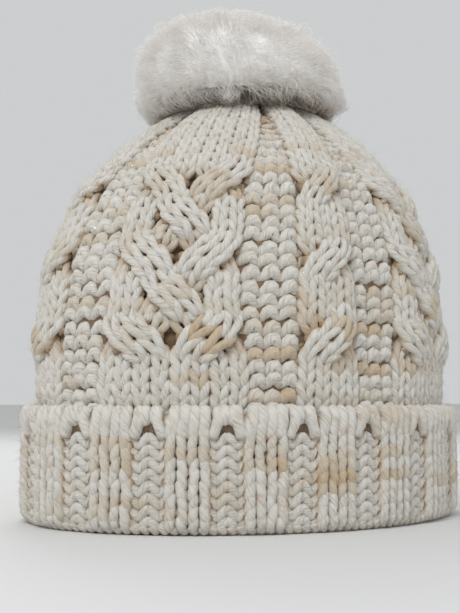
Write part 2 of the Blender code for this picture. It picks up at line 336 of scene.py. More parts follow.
def yarn_material(name, cream, middle, tan, deep_shade):
    """Marled yarn in three colours along its length, and painted shade for the hollows between loops.
    """
    tree = new_material(name)
    place = add_node(tree, "ShaderNodeTexCoord")
    strand = add_node(tree, "ShaderNodeSeparateXYZ", Vector=place.outputs["UV"])
    along, around = strand.outputs["X"], strand.outputs["Y"]
    turn = add_node(
        tree, "ShaderNodeMath", {"operation": "MULTIPLY_ADD"}, _0=along, _1=1 / TWIST_MM, _2=around
    )
    plies = add_node(
        tree, "ShaderNodeMath", {"operation": "MULTIPLY"}, _0=turn.outputs[0], _1=2 * math.pi * PLIES
    )
    ply = add_node(tree, "ShaderNodeMath", {"operation": "SINE"}, _0=plies.outputs[0])
    lengthwise = add_node(
        tree, "ShaderNodeMath", {"operation": "MULTIPLY"}, _0=along, _1=1 / FIBRE_MM
    )
    spun = add_node(tree, "ShaderNodeCombineXYZ", X=lengthwise.outputs[0], Y=turn.outputs[0])
    drawn = add_node(
        tree, "ShaderNodeVectorMath", {"operation": "MULTIPLY"}, _0=spun.outputs[0], _1=(1, STREAKS, 1)
    )
    streaks = add_node(
        tree, "ShaderNodeTexNoise", {"noise_dimensions": "2D"},
        Vector=drawn.outputs[0], Scale=1.0, Detail=3.0, Roughness=0.6,
    ).outputs["Fac"]
    long_run = add_node(tree, "ShaderNodeAttribute", {"attribute_name": "marl"})
    broken = add_node(
        tree, "ShaderNodeMath", {"operation": "MULTIPLY_ADD"}, _0=streaks, _1=0.8, _2=-0.4
    )
    marl = add_node(
        tree, "ShaderNodeMath", {"operation": "ADD", "use_clamp": True},
        _0=broken.outputs[0], _1=long_run.outputs["Fac"],
    )
    body = add_node(
        tree, "ShaderNodeValToRGB", stops=((0.0, cream), (0.5, middle), (1.0, tan)),
        Fac=marl.outputs[0],
    )
    patches = add_node(
        tree, "ShaderNodeTexNoise",
        Vector=place.outputs["Object"], Scale=1 / (FLECK_MM * MM), Detail=2.0,
    )
    pink = add_node(
        tree, "ShaderNodeValToRGB", stops=((0.6, "#FFFFFF"), (0.76, "#F6E6DE")),
        Fac=patches.outputs["Fac"],
    )
    # Painted shade: the further a place lies into the knit, the browner its colour is painted.
    depth = add_node(tree, "ShaderNodeAttribute", {"attribute_name": "depth"})
    painted_warm_shade = add_node(
        tree, "ShaderNodeValToRGB", stops=((0.15, "#FFFFFF"), (0.5, "#E3C9A9"), (1.0, deep_shade)),
        Fac=depth.outputs["Fac"],
    )
    # Painted shade: the low places of the fibre streaks are painted a little darker.
    streak_shade = add_node(
        tree, "ShaderNodeValToRGB", stops=((0.3, "#DFD7CC"), (0.52, "#FFFFFF")), Fac=streaks
    )
    colour = body.outputs["Color"]
    for layer in (pink, painted_warm_shade, streak_shade):
        colour = add_node(
            tree, "ShaderNodeMix", {"data_type": "RGBA", "blend_type": "MULTIPLY"},
            _0=1.0, _6=colour, _7=layer.outputs["Color"],
        ).outputs[2]
    dots = add_node(
        tree, "ShaderNodeTexVoronoi", {"feature": "F1"},
        Vector=place.outputs["Object"], Scale=1 / (GLINT_MM * MM), Randomness=1.0,
    )
    small = add_node(
        tree, "ShaderNodeMath", {"operation": "LESS_THAN"}, _0=dots.outputs["Distance"], _1=GLINT_DOT
    )
    chosen = add_node(tree, "ShaderNodeSeparateXYZ", Vector=dots.outputs["Color"])
    some = add_node(
        tree, "ShaderNodeMath", {"operation": "GREATER_THAN"}, _0=chosen.outputs["X"], _1=GLINT_NONE
    )
    glint = add_node(
        tree, "ShaderNodeMath", {"operation": "MULTIPLY"}, _0=small.outputs[0], _1=some.outputs[0]
    )
    rough = add_node(
        tree, "ShaderNodeMath", {"operation": "MULTIPLY_ADD"}, _0=glint.outputs[0], _1=-0.75, _2=0.95
    )
    relief = add_node(
        tree, "ShaderNodeMath", {"operation": "MULTIPLY_ADD"}, _0=ply.outputs[0], _1=0.07, _2=streaks
    )
    bump = add_node(
        tree, "ShaderNodeBump", Strength=0.7, Distance=1.1 * MM, Height=relief.outputs[0]
    )
    shader = add_node(
        tree, "ShaderNodeBsdfPrincipled", Base_Color=colour, Roughness=rough.outputs[0],
        Metallic=glint.outputs[0], Normal=bump.outputs[0], Specular_IOR_Level=0.2,
        Sheen_Weight=0.4, Sheen_Roughness=0.6, Sheen_Tint=linear("#FFF9EF"),
    )
    add_node(tree, "ShaderNodeOutputMaterial", Surface=shader.outputs[0])
    return bpy.data.materials[name]


# The last colour is the painted shade of the hollows between loops.
yarn = yarn_material("marled_wool_yarn", "#DDDBD5", "#D6CFC2", "#CAB597", "#74502F")
print("yarn:", len(yarn.node_tree.nodes), "nodes")


# %% [markdown]
# ## The body: where each panel lies
# Round the hat, four braids of eight wales and four ropes of four wales take turns, with purl
# gutters between. The ribbing under the cuff spaces them evenly. Above it the cables pull in and
# leave the gutters wide, and at the crown the gutters close up between puffed lobes.

# %% Panels
PLACES = ("front", "right", "back", "left")
CORNERS = ("front_right", "back_right", "back_left", "front_left")
REPEAT = 18.0  # stitches from the middle of one rope to the middle of the next
LENGTH_STOPS = (0, 54, 64, 84, 104, 160, 190, 235)
BRAID_HALF = (4.0, 4.0, 4.3, 4.1, 3.6, 3.6, 4.4, 5.4)
ROPE_HALF = (2.0, 2.0, 2.0, 1.85, 1.75, 1.75, 2.1, 2.7)
KNIT_RAISE = (0.0, 0.0, 1.6, 2.2, 2.2, 2.2, 3.0, 3.2)
PURL_DROP = (0.0, 0.0, 1.0, 1.5, 1.8, 1.8, 2.6, 3.4)


def half_width(wales, length):
    return np.interp(length, LENGTH_STOPS, BRAID_HALF if wales == 8 else ROPE_HALF)


def on_knit(middle, wales, x, length, lift):
    """A point of a cable panel: x stitches from its middle, lift millimetres over the plain wall."""
    half = half_width(wales, length)
    stitch = middle + x * half / (wales / 2)
    crown = 1 - np.minimum(np.abs(x) / (wales / 2), 1.15) ** 4
    out = WALL - YARN + np.interp(length, LENGTH_STOPS, KNIT_RAISE) * crown + lift
    return inner_face(stitch, length) + outward(stitch, length) * out[..., None]


# %% [markdown]
# ## Cables
# A cable is made by knitting strands out of turn, so that one passes over the other. Here each
# strand is two wales wide. A crossing moves it sideways by two stitches within three rows, the one
# on top bulges out and the one beneath is pushed in. On the braids the outer pairs cross like a
# mirror and then the inner pair crosses. On the ropes the same strand always goes down to the left.

# %% Crossings
CROSSINGS = (88.0, 125.2, 162.4)
MIDDLE_CROSSINGS = (106.6, 143.8)
CROSS_REACH = 10.0
OVER, UNDER = 2.4, -2.8


def braid_events():
    events = [(s, [(1, 0, 1), (0, 1, -1), (2, 3, 1), (3, 2, -1)]) for s in CROSSINGS]
    events += [(s, [(2, 1, 1), (1, 2, -1)]) for s in MIDDLE_CROSSINGS]
    return sorted(events)


def rope_events():
    return [(s, [(0, 1, 1), (1, 0, -1)]) for s in CROSSINGS]


def strand_way(slot, slots, events):
    """Where a strand starts, and its crossings as (length, sideways move, over or under)."""
    steps = []
    start = slot
    for length, moves in events:
        for come, go, side in moves:
            if come == slot:
                steps.append((length, 2.0 * (go - come), side))
                slot = go
                break
    return 2.0 * start - (slots - 1), steps


def follow(way, length):
    """Sideways place, slope and lift of a strand at lengths up the hat."""
    start, steps = way
    x, slope, lift = np.full_like(length, start), np.zeros_like(length), np.zeros_like(length)
    for middle, move, side in steps:
        t = np.clip((length - middle + CROSS_REACH) / (2 * CROSS_REACH), 0, 1)
        x += move * eased(t)
        slope += move * 6 * t * (1 - t) / (2 * CROSS_REACH)
        bell = np.clip(1 - ((length - middle) / (CROSS_REACH * 1.15)) ** 2, 0, 1) ** 1.5
        lift += bell * (OVER if side > 0 else UNDER)
    return x, slope, lift


# %% [markdown]
# ## One loop of knitting
# A knit stitch is a loop pulled up through the one below. From the front its two legs make a V.
# Its feet come from behind, at the edges of the column, and its head goes back behind the next
# loop. The line below is half a loop: across in stitches, up in rows, and outward in millimetres.

# %% The loop
HALF_LOOP = (
    (0.50, -0.22, -2.7),
    (0.34, -0.12, -2.1),
    (0.17, 0.04, -0.7),
    (0.16, 0.36, 0.1),
    (0.24, 0.72, 0.3),
    (0.31, 1.02, 0.0),
    (0.32, 1.26, -0.9),
    (0.20, 1.44, -2.3),
    (0.0, 1.52, -2.9),
)


def whole_loop(half, count):
    right = np.array(half)
    return smooth_line(np.concatenate([right, right[:-1][::-1] * (-1, 1, 1)]), count)


SHAKE = 0.05  # how much one loop differs from the next in its width, height and thickness
# Painted shade grows with how far a strand lies behind the front of the knit, and is brownest at this
# distance.
DEEP = 3.6  # a strand this far behind the front of the knit is as brown as it gets


def shaken(shape, count, aside):
    """Copies of a loop, each a little wider or narrower and a little out of its place."""
    loops = np.broadcast_to(shape, (count, *shape.shape)).copy()
    loops[:, :, 0] *= 1 + rng.normal(0, SHAKE, (count, 1))
    loops[:, :, 1] += rng.normal(0, SHAKE, (count, 1))
    loops[:, :, 0] += rng.normal(0, aside, (count, 1))
    return loops


def plump(points):
    """The yarn's thickness along a loop: it is squeezed where loops cross."""
    return 1 + 0.1 * np.cos(np.linspace(0, 4 * math.pi, points))


# How much painted shade a loop gets, from how far it lies behind the front of the knit.
def how_deep(out):
    return np.clip(-out / DEEP, 0, 1)


loop = whole_loop(HALF_LOOP, 23)
print("a loop has", len(loop), "points")


def loops_on_strand(middle, wales, way, wale, rows, number):
    """All the knit loops of one wale of a strand, wale stitches to the side of its middle line."""
    count = len(rows)
    shape = shaken(loop, count, 0.025)
    length = rows[:, None] + shape[:, :, 1] * ROW
    x, slope, lift = follow(way, length)
    width = stitch_size(length) * half_width(wales, length) / (wales / 2)
    lean = np.arctan(slope * width) * 0.88
    across = wale + shape[:, :, 0]
    cable = eased((length - 76) / 14) * eased((184 - length) / 14)
    puff = 1.5 * cable * (1 - np.minimum(np.abs(across), 1.2) ** 2)
    lift = lift + puff + shape[:, :, 2]
    x = x + across * np.cos(lean)
    length = np.clip(length - across * np.sin(lean) * width, 0.5, CROWN_END)
    spread = 1 + 0.10 * cable
    x = x + across * (spread - 1)
    lines = on_knit(middle, wales, x, length, lift)
    thin = np.clip(width / 7.8, 0.35, 1.0) ** 0.85
    radius = YARN * thin * (1 + rng.normal(0, SHAKE, (count, 1))) * plump(len(loop))
    faces_out = outward(middle + x * half_width(wales, length) / (wales / 2), length)
    run = np.arange(count)[:, None] * STITCHES + middle + x + number * 7
    # Strands pushed under at a crossing get more painted shade.
    sunk = np.minimum(follow(way, length)[2], 0) * 0.62
    return sweep(lines, faces_out, radius, how_deep(shape[:, :, 2] + sunk), run)


# %% Knit columns of the body
FIRST_ROW = 53.0
rows = np.arange(FIRST_ROW, CROWN_END - ROW * 1.6, ROW)


def cable_panel(middle, wales, events):
    parts = []
    slots = wales // 2
    for slot in range(slots):
        way = strand_way(slot, slots, events)
        for wale in (-0.5, 0.5):
            parts.append(loops_on_strand(middle, wales, way, wale, rows, slot))
    return parts


knit = {}
for i in range(len(PLACES)):
    rope = f"rope_panel_{PLACES[i]}"
    knit[rope] = cable_panel(REPEAT * i, 4, rope_events())
    braid = f"braid_panel_{CORNERS[i]}"
    knit[braid] = cable_panel(REPEAT * (i + 0.5), 8, braid_events())
print("rows above the cuff", len(rows))


# %% [markdown]
# ## Purl gutters
# Purl stitches are the same loops seen from behind. What shows is a stack of wavy rows: heads and
# feet of loops that arch over and under each other. One wavy strand for each row gives that look,
# thicker and further forward on each arch.

# %% Purl rows
WAVE = 0.27  # rise of the wave, in rows
ARCHES = 3
t_row = np.linspace(-0.16, 1.16, 37)


def purl_rows(first, last, rows, number):
    """Rows from the edge of one panel to the edge of the next."""
    (mid_a, wales_a), (mid_b, wales_b) = first, last
    count = len(rows)
    t = np.broadcast_to(t_row, (count, len(t_row)))
    shift = rng.normal(0, 0.07, (count, 1)) + 0.09 * np.sin(t * 5 + np.arange(count)[:, None] * 2.4)
    sway = 0.28 * np.sin(np.arange(count)[:, None] * 1.7 + number) + rng.normal(0, 0.2, (count, 1))
    arch = -np.cos(2 * math.pi * ARCHES * t + sway)
    arch = arch + 0.22 * np.sin(4 * math.pi * ARCHES * t + sway)
    plain = rows[:, None] + 0 * t
    gutter = mid_b - half_width(wales_b, plain) - mid_a - half_width(wales_a, plain)
    open_gutter = eased(gutter * stitch_size(plain) / 18)
    length = plain + (WAVE * arch * open_gutter + shift) * ROW
    length = np.clip(length, 0.5, CROWN_END)
    start = mid_a + half_width(wales_a, length)
    end = mid_b - half_width(wales_b, length)
    stitch = start + (end - start) * t
    ends = np.clip(np.abs(t - 0.5) * 2 - 0.86, 0, 1) / 0.4
    drop = np.interp(length, LENGTH_STOPS, PURL_DROP)
    out = WALL - YARN - drop + 0.8 * arch - 2.6 * ends**1.5
    lines = inner_face(stitch, length) + outward(stitch, length) * out[..., None]
    radius = (2.75 + 0.3 * arch * open_gutter) * (1 + rng.normal(0, SHAKE, (count, 1)))
    radius = radius * (0.82 + 0.18 * open_gutter)
    run = np.arange(count)[:, None] * STITCHES + stitch + number * 11
    # Painted shade: more in the dips of the rows, at their ends under the knit columns and where the
    # gutter is narrow.
    depth = np.clip(0.06 - 0.05 * arch + ends * 0.6 + 0.5 * (1 - open_gutter), 0, 1)
    return sweep(lines, outward(stitch, length), radius, depth, run)


purl_rows_up = np.arange(FIRST_ROW + 2, CROWN_END - ROW, ROW)
for i in range(len(PLACES)):
    rope_here, braid_here, rope_next = (REPEAT * i, 4), (REPEAT * (i + 0.5), 8), (REPEAT * (i + 1), 4)
    knit[f"purl_panel_{2 * i + 1}"] = [purl_rows(rope_here, braid_here, purl_rows_up, i)]
    knit[f"purl_panel_{2 * i + 2}"] = [purl_rows(braid_here, rope_next, purl_rows_up, i + 4)]
print("rows in a gutter", len(purl_rows_up))

# %% [markdown]
# ## Fuzz
# Soft yarn has a halo of loose fibres, which blurs its edges. The real ones are far too fine to
# draw, so these are fewer and thicker: little curved hairs of three sides that grow from the
# outer side of the strands and taper to a point.

# %% Loose fibres
FUZZ_THICK = 0.075  # half thickness at the root
FUZZ_FLOOR = 0.3  # no fibre reaches lower than this
BRAID_FUZZ, PANEL_FUZZ, RIB_FUZZ = 1100, 480, 260  # fibres on each piece
fuzz_rng = np.random.default_rng(11)


def fuzz(parts, count):
    """Loose fibres on the strands' outer side, scattered over all the parts."""
    verts = np.concatenate([p["verts"] for p in parts])
    normal = np.concatenate([p["out"] for p in parts])
    shown = np.concatenate([p["depth"] for p in parts]) < 0.16
    pick = fuzz_rng.choice(np.flatnonzero(shown), count)
    t = np.linspace(0, 1, 3)[None, :, None]
    lean = unit(normal[pick] + fuzz_rng.normal(0, 0.55, (count, 3)))[:, None]
    reach = fuzz_rng.uniform(1.4, 4.2, (count, 1, 1))
    bend = fuzz_rng.normal(0, 0.5, (count, 1, 3))
    lines = verts[pick][:, None] - normal[pick][:, None] * 0.3 + reach * (lean * t + bend * t * t)
    lines[..., 2] = np.maximum(lines[..., 2], FUZZ_FLOOR)
    radius = FUZZ_THICK * (1 - 0.85 * t[..., 0])
    side = np.broadcast_to(np.array([0.31, 0.2, 0.93]), lines.shape)
    hairs = sweep(lines, side, radius, 0.0, 0.0, sides=3)
    return hairs | {key: np.zeros_like(hairs[key]) for key in ("marl", "depth")}


# %% The body's pieces
for node, parts in knit.items():
    hairs = fuzz(parts, BRAID_FUZZ if node.startswith("braid") else PANEL_FUZZ)
    piece = as_object("knit_" + node, [*parts, hairs], yarn)
    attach(piece, "hat")
    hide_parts(node)


# %% [markdown]
# ## The ribbing behind the cuff
# Under the cuff the wall is two-by-two ribbing as well. It shows once the cuff is turned down. The
# knit columns here lie behind the cuff's purl furrows, because the cuff shows the cloth's back.

# %% Wall ribbing
RIB_ROWS = 4 + ROW * np.arange(8)
plain_loop = whole_loop(HALF_LOOP, 17)


def wall_column(stitch):
    """One knit column of the ribbing."""
    shape = np.broadcast_to(plain_loop, (len(RIB_ROWS), *plain_loop.shape))
    length = RIB_ROWS[:, None] + shape[:, :, 1] * ROW
    around = stitch + shape[:, :, 0]
    out = WALL - YARN + shape[:, :, 2]
    lines = inner_face(around, length) + outward(around, length) * out[..., None]
    run = around + RIB_ROWS[:, None] * 12
    return sweep(lines, outward(around, length), YARN, how_deep(shape[:, :, 2]), run, sides=7)


def wall_furrow(middle):
    """The purl rows between two pairs of knit columns, with one wave to each of the two stitches."""
    u = np.broadcast_to(np.linspace(-1.15, 1.15, 17), (len(RIB_ROWS), 17))
    arch = np.cos(2 * math.pi * u / 1.15)
    length = RIB_ROWS[:, None] + 3 + 0.3 * ROW * arch
    out = WALL - YARN - 1.6 + 0.6 * arch
    around = middle + u
    lines = inner_face(around, length) + outward(around, length) * out[..., None]
    run = around + RIB_ROWS[:, None] * 12
    # Painted shade: a little more in the dips of the rows.
    return sweep(lines, outward(around, length), 2.4 + 0.25 * arch, 0.1 - 0.06 * arch, run, sides=7)


wall_parts = []
for rib in range(RIBS):
    wall_parts += [wall_column(4 * rib + 1.5), wall_column(4 * rib + 2.5), wall_furrow(4 * rib)]
wall_ribs = as_object("knit_wall_ribs", wall_parts, yarn)
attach(wall_ribs, "hat")


# %% [markdown]
# ## The cloth behind the loops
# Real loops pull at each other and leave small dark holes, but nobody sees daylight through them,
# because fibres fill the knit. A thin closed sheet of yarn lies in the middle of the knit's
# thickness for that. It shows only down in the holes, so its colour is painted shade, brown.
# Its faint ridges follow the rows and the wales.

# %% A thin closed sheet
def sheet_between(outer, inner, depth, ring):
    """A closed thin sheet between two grids of points; ring joins its first column to its last."""
    tall, wide = outer.shape[:2]
    verts = np.concatenate([outer.reshape(-1, 3), inner.reshape(-1, 3)])
    last = wide if ring else wide - 1
    i, j = np.meshgrid(np.arange(tall - 1), np.arange(last), indexing="ij")
    i, j = i.ravel(), j.ravel()
    k = (j + 1) % wide
    front = np.stack([i * wide + j, i * wide + k, (i + 1) * wide + k, (i + 1) * wide + j], 1)
    size = tall * wide
    quads = [front, front[:, ::-1] + size]
    for row in (0, tall - 1):
        a = np.arange(last) + row * wide
        b = (np.arange(last) + 1) % wide + row * wide
        rim = np.stack([a, a + size, b + size, b], 1)
        quads.append(rim if row == 0 else rim[:, ::-1])
    if not ring:
        for column in (0, wide - 1):
            a = np.arange(tall - 1) * wide + column
            b = a + wide
            rim = np.stack([a, b, b + size, a + size], 1)
            quads.append(rim if column == 0 else rim[:, ::-1])
    quads = np.concatenate(quads)
    place = np.stack(np.meshgrid(np.arange(wide) * 4.0, np.arange(tall) * 0.7), -1).reshape(-1, 2)
    place = np.concatenate([place, place])
    count = len(verts)
    # The outer face gets the painted shade it is given, the inner face less than half of it.
    return {
        "verts": verts, "quads": quads, "caps": np.zeros((0, 4), int), "uv": place[quads.ravel()],
        "depth": np.repeat([depth, depth * 0.45], count // 2),
        "marl": np.full(count, 0.2), "out": np.zeros((count, 3)),
    }


BACKING = 2.7  # outer face of the sheet, from the wall's inner face
BACKING_THICK = 1.4
stitch_grid, length_grid = np.meshgrid(
    np.arange(0, STITCHES, 0.5), np.arange(2.5, CROWN_END, ROW / 4)
)
groove = np.interp(length_grid, LENGTH_STOPS, PURL_DROP) * 0.25
ridges = 0.45 * np.cos(length_grid / ROW * 2 * math.pi) + 0.3 * np.cos(stitch_grid * 2 * math.pi)
base, normal = inner_face(stitch_grid, length_grid), outward(stitch_grid, length_grid)
outer = base + normal * (BACKING - groove + ridges)[..., None]
inner = base + normal * (BACKING - BACKING_THICK - groove + ridges)[..., None]
backing = as_object("knit_backing", [sheet_between(outer, inner, 0.85, True)], yarn)
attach(backing, "hat")


# %% [markdown]
# ## The cuff
# The cuff is two-by-two ribbing, folded up, so its stitches hang upside down: the Vs point up and
# the cast-on edge is on top. Each rib of the plain model gets its own piece, because it turns on
# the fold: two knit columns that crowd forward, and half a purl furrow on each side, which meets
# the next rib's half in the middle.

# %% A place on the cuff
CUFF_YARN = 2.45
KNIT_SHARE = 1.14  # width of a knit column here, in stitches
EDGE = KNIT_SHARE  # half the width of a rib's two knit columns
FURROW_DROP = 3.0  # how far the purl furrows lie behind the knit columns
CURL_HEIGHT = 7.0  # the cuff starts to curl under below this
CURL = 3.7  # and goes this much further down and in


def on_cuff(stitch, height, out):
    """A point of the cuff, height millimetres up from the fold; its low end curls under."""
    bend = np.clip((CURL_HEIGHT - height) / CURL_HEIGHT, 0, 1.25) * math.pi / 2 * 0.95
    z = np.where(bend > 0, CURL_HEIGHT - CURL * np.sin(bend), height)
    out = out - CURL * (1 - np.cos(bend))
    level = np.zeros_like(stitch)
    point = inner_face(stitch, level) + outward(stitch, level) * out[..., None]
    point[..., 2] = z
    return point


def cuff_normal(stitch):
    """The way out of the hat at the cuff, which stands as upright as the wall's foot."""
    return outward(stitch, np.zeros_like(stitch))


# %% Ribs
CUFF_HALF_LOOP = (
    (0.50, -0.20, -2.9),
    (0.36, -0.10, -2.2),
    (0.235, 0.06, -0.7),
    (0.225, 0.38, 0.1),
    (0.25, 0.72, 0.3),
    (0.275, 1.04, 0.0),
    (0.28, 1.28, -0.9),
    (0.18, 1.45, -2.3),
    (0.0, 1.52, -2.9),
)
cuff_loop = whole_loop(CUFF_HALF_LOOP, 21)
CUFF_TOP_ROW = 50.0
CUFF_ROWS = 9


def cuff_column(middle):
    """One knit column of a rib, with its loops upside down."""
    heights = CUFF_TOP_ROW - np.arange(CUFF_ROWS) * CUFF_ROW
    count = len(heights)
    shape = shaken(cuff_loop, count, 0.03)
    height = heights[:, None] - shape[:, :, 1] * CUFF_ROW
    stitch = middle + shape[:, :, 0] * KNIT_SHARE
    out = CUFF_OUTER - CUFF_YARN + shape[:, :, 2] * 1.05
    out = np.maximum(out, CUFF_INNER + 1.7)
    lines = on_cuff(stitch, height, out)
    radius = CUFF_YARN * (1 + rng.normal(0, SHAKE, (count, 1))) * plump(len(cuff_loop))
    run = np.arange(count)[:, None] * STITCHES + stitch + 3000
    return sweep(lines, cuff_normal(stitch), radius, how_deep(shape[:, :, 2]), run)


def furrow_half(rib, side):
    """Half of the purl rows between two ribs, from under the knit column to the furrow's middle."""
    heights = CUFF_TOP_ROW - 8.5 - np.arange(CUFF_ROWS - 1) * CUFF_ROW
    count = len(heights)
    u = np.broadcast_to(np.linspace(EDGE - 0.16, 2.03, 13), (count, 13))
    wave = np.cos(2 * math.pi * (u - 2) / 1.1)
    height = heights[:, None] + CUFF_ROW * 0.34 * wave
    edge = np.clip((EDGE + 0.12 - u) / 0.28, 0, 1)
    out = CUFF_OUTER - FURROW_DROP - 1.9 + 0.3 * wave - 0.7 * edge
    stitch = rib * 4 + side * u
    lines = on_cuff(stitch, height, out)
    if side < 0:
        lines, u, wave, edge, stitch = (a[:, ::-1] for a in (lines, u, wave, edge, stitch))
    radius = 2.4 + 0.15 * wave
    run = np.arange(count)[:, None] * STITCHES + stitch + 4000
    # Painted shade: more in the dips of the rows and at the edge under the knit column.
    depth = np.clip(0.06 - 0.05 * wave + 0.5 * edge, 0, 1)
    return sweep(lines, cuff_normal(stitch), radius, depth, run)


# %% Cast-on edge
# Each strand comes up the front, goes over the rim and down behind. Over a furrow it starts higher
# and further back, and the strands beside it lean in over it, which leaves a dark pointed hollow.
RIM_BACK = ((54.9, 9.1), (53.7, 8.3), (50, 8.2), (45, 8.2))
RIM_BACK_SHORT = ((54.9, 9.1), (53.7, 8.3), (51.8, 8.2))  # keeps clear of the hollow
RIM_KNIT = ((43.0, 9.4), (47.0, 10.4), (51.0, 10.8), (53.7, 10.1))
RIM_PURL = ((50.6, 8.6), (51.2, 9.7), (52.4, 10.4), (53.9, 10.0))
RIM_YARN = 2.95
RIB_HALF = 1.88  # stitches from a rib's middle to its side, less a clearance


def cast_on(rib):
    """The strands of one rib's rim, each a height and a place outwards along its way."""
    lines, stitches = [], []
    for u in np.arange(-1.75, 2, 0.5):
        front = RIM_PURL if abs(u) > 1.3 else RIM_KNIT
        line = smooth_line(front + (RIM_BACK_SHORT if abs(u) > 1 else RIM_BACK), 15)
        slant = 0.3 * np.sign(u) if 1 < abs(u) < 1.5 else 0.1
        stitch = rib * 4 + u + slant * eased((line[:, 0] - 43) / 9) + rng.normal(0, 0.02)
        stitch = np.clip(stitch, rib * 4 - RIB_HALF, rib * 4 + RIB_HALF)
        height = line[:, 0] + rng.normal(0, 0.15)
        lines.append(on_cuff(stitch, height, line[:, 1]))
        stitches.append(stitch)
    lines, stitches = np.array(lines), np.array(stitches)
    radius = RIM_YARN * (1 + rng.normal(0, SHAKE, (len(lines), 1)))
    # Painted shade along each strand: more where it comes up the front and where it goes down behind.
    depth = np.concatenate([[0.4, 0.15], np.zeros(7), np.linspace(0.1, 0.2, 6)])
    return sweep(lines, cuff_normal(stitches), radius, depth, stitches + 5000)


# %% The cuff's other face
# It faces the wall, and faces out once the cuff is turned down. Behind each furrow it is knit, and
# behind each pair of knit columns the feet and heads of their loops already look like purl rows.
BACK_YARN = 1.6


def cuff_back_column(rib, u):
    """One knit column behind a furrow, u stitches from the rib's middle."""
    heights = 48 - np.arange(CUFF_ROWS - 1) * CUFF_ROW
    shape = np.broadcast_to(plain_loop, (len(heights), *plain_loop.shape))
    height = heights[:, None] - shape[:, :, 1] * CUFF_ROW
    stitch = rib * 4 + u + np.clip(shape[:, :, 0] * 0.86, -0.42, 0.42)
    out = CUFF_INNER + 1.1 + np.clip(-shape[:, :, 2], -0.3, 0.2)
    lines = on_cuff(stitch, height, out)
    run = stitch + heights[:, None] * 12
    return sweep(lines, -cuff_normal(stitch), BACK_YARN, how_deep(shape[:, :, 2]), run, sides=7)


# %% The cuff's backing and its pieces
def cuff_backing(rib):
    """The closed sheet in the middle of one rib, further out behind the hollows at the rim."""
    u, height = np.meshgrid(np.linspace(-1.99, 1.99, 17), np.linspace(2.5, 52, 40))
    stitch = rib * 4 + u
    ridges = 0.35 * np.cos(height / CUFF_ROW * 2 * math.pi) + 0.25 * np.cos(u * 2 * math.pi)
    hollow = eased((height - 40) / 4) * (np.abs(u) > EDGE - 0.1)
    middle = 1.7 + 1.7 * hollow + ridges
    outer = on_cuff(stitch, height, CUFF_INNER + middle)
    inner = on_cuff(stitch, height, CUFF_INNER + middle - 0.8)
    # The sheet is yarn that fills the knit, painted brown as shade: it shows only in the gaps and in
    # the hollows at the rim.
    return sheet_between(outer, inner, 0.9, False)


for rib in range(RIBS):
    name = f"cuff_rib_{rib + 1:02d}"
    parts = [cuff_column(rib * 4 - EDGE / 2), cuff_column(rib * 4 + EDGE / 2)]
    parts += [furrow_half(rib, 1), furrow_half(rib, -1), cast_on(rib)]
    parts.append(fuzz(parts, RIB_FUZZ))
    parts += [cuff_back_column(rib, -1.5), cuff_back_column(rib, 1.5)]
    parts.append(cuff_backing(rib))
    piece = as_object("knit_" + name, parts, yarn)
    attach(piece, name)
    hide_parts(name)


# %% [markdown]
# ## The fold
# At the bottom the same knit turns from the wall into the cuff. Short strands go round the fold,
# one piece for each rib.

# %% Fold
FOLD_YARN = 2.2
FOLD_LINE = ((5.5, 3.2), (3.4, 3.5), (2.3, 4.7), (2.1, 6.4), (2.6, 8.0), (4.4, 8.8))


def fold_strip(rib):
    """Eight strands round the fold of one rib."""
    line = smooth_line(FOLD_LINE, 12)
    u = np.arange(-1.75, 2, 0.5)[:, None]
    stitch = rib * 4 + u + 0.1 * np.sin(np.arange(len(line)))
    normal = cuff_normal(stitch)
    lines = inner_face(stitch, np.zeros_like(stitch)) + normal * line[:, 1, None]
    lines[..., 2] = line[:, 0]
    return sweep(lines, normal, FOLD_YARN, 0.02, stitch + 6000)


for rib in range(RIBS):
    name = f"cuff_rib_{rib + 1:02d}"
    piece = as_object(f"knit_fold_{rib + 1:02d}", [fold_strip(rib)], yarn)
    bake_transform(piece)


# %% [markdown]
# ## The pom-pom
# The pom-pom is long-pile faux fur, a round skin drawn shut over a ball of wadding. Its pile is
# fine, straight near the skin and tangled into soft tufts at the tips, and it falls over the crown.
# A wadding core and a fur skin are modelled as soft closed forms. The pile is real hair: thin
# three-sided strands that taper to a point, gathered by tufts, because curves wouldn't be exported.
# Wadding is a matt white mass of fibres, so its material is a lumpy one with no gloss.

# %% Wadding
WAD_LUMP_MM = 4.0  # size of its lighter and darker lumps
WAD_FIBRE_MM = 1.0  # size of its surface's unevenness, coarser than real


def wadding_material(name):
    """Polyester wadding: white, matt and lumpy, with fibres too fine to draw one by one."""
    tree = new_material(name)
    place = add_node(tree, "ShaderNodeTexCoord")
    mottle = add_node(
        tree, "ShaderNodeTexNoise",
        Vector=place.outputs["Object"], Scale=1 / (WAD_LUMP_MM * MM), Detail=4.0,
    )
    tone = add_node(
        tree, "ShaderNodeValToRGB", stops=((0.3, "#DEDEDB"), (0.7, "#F2F2F0")),
        Fac=mottle.outputs["Fac"],
    )
    fine = add_node(
        tree, "ShaderNodeTexNoise",
        Vector=place.outputs["Object"], Scale=1 / (WAD_FIBRE_MM * MM), Detail=3.0,
    )
    bump = add_node(
        tree, "ShaderNodeBump", Strength=0.5, Distance=1.2 * MM, Height=fine.outputs["Fac"]
    )
    shader = add_node(
        tree, "ShaderNodeBsdfPrincipled", Base_Color=tone.outputs["Color"], Roughness=0.9,
        Normal=bump.outputs[0], Specular_IOR_Level=0.2, Sheen_Weight=0.3,
    )
    add_node(tree, "ShaderNodeOutputMaterial", Surface=shader.outputs[0])
    return bpy.data.materials[name]


wadding = wadding_material("polyester_wadding")
print("wadding:", len(wadding.node_tree.nodes), "nodes")


# %% [markdown]
# ## Fur
# Acrylic fur is a mass of clear, fine fibres. Together they look white, because light bounces from
# one to the next, and thin tips let it through. So the hairs' material is mixed with Translucent,
# and the underfur, which is too dense for that, isn't.

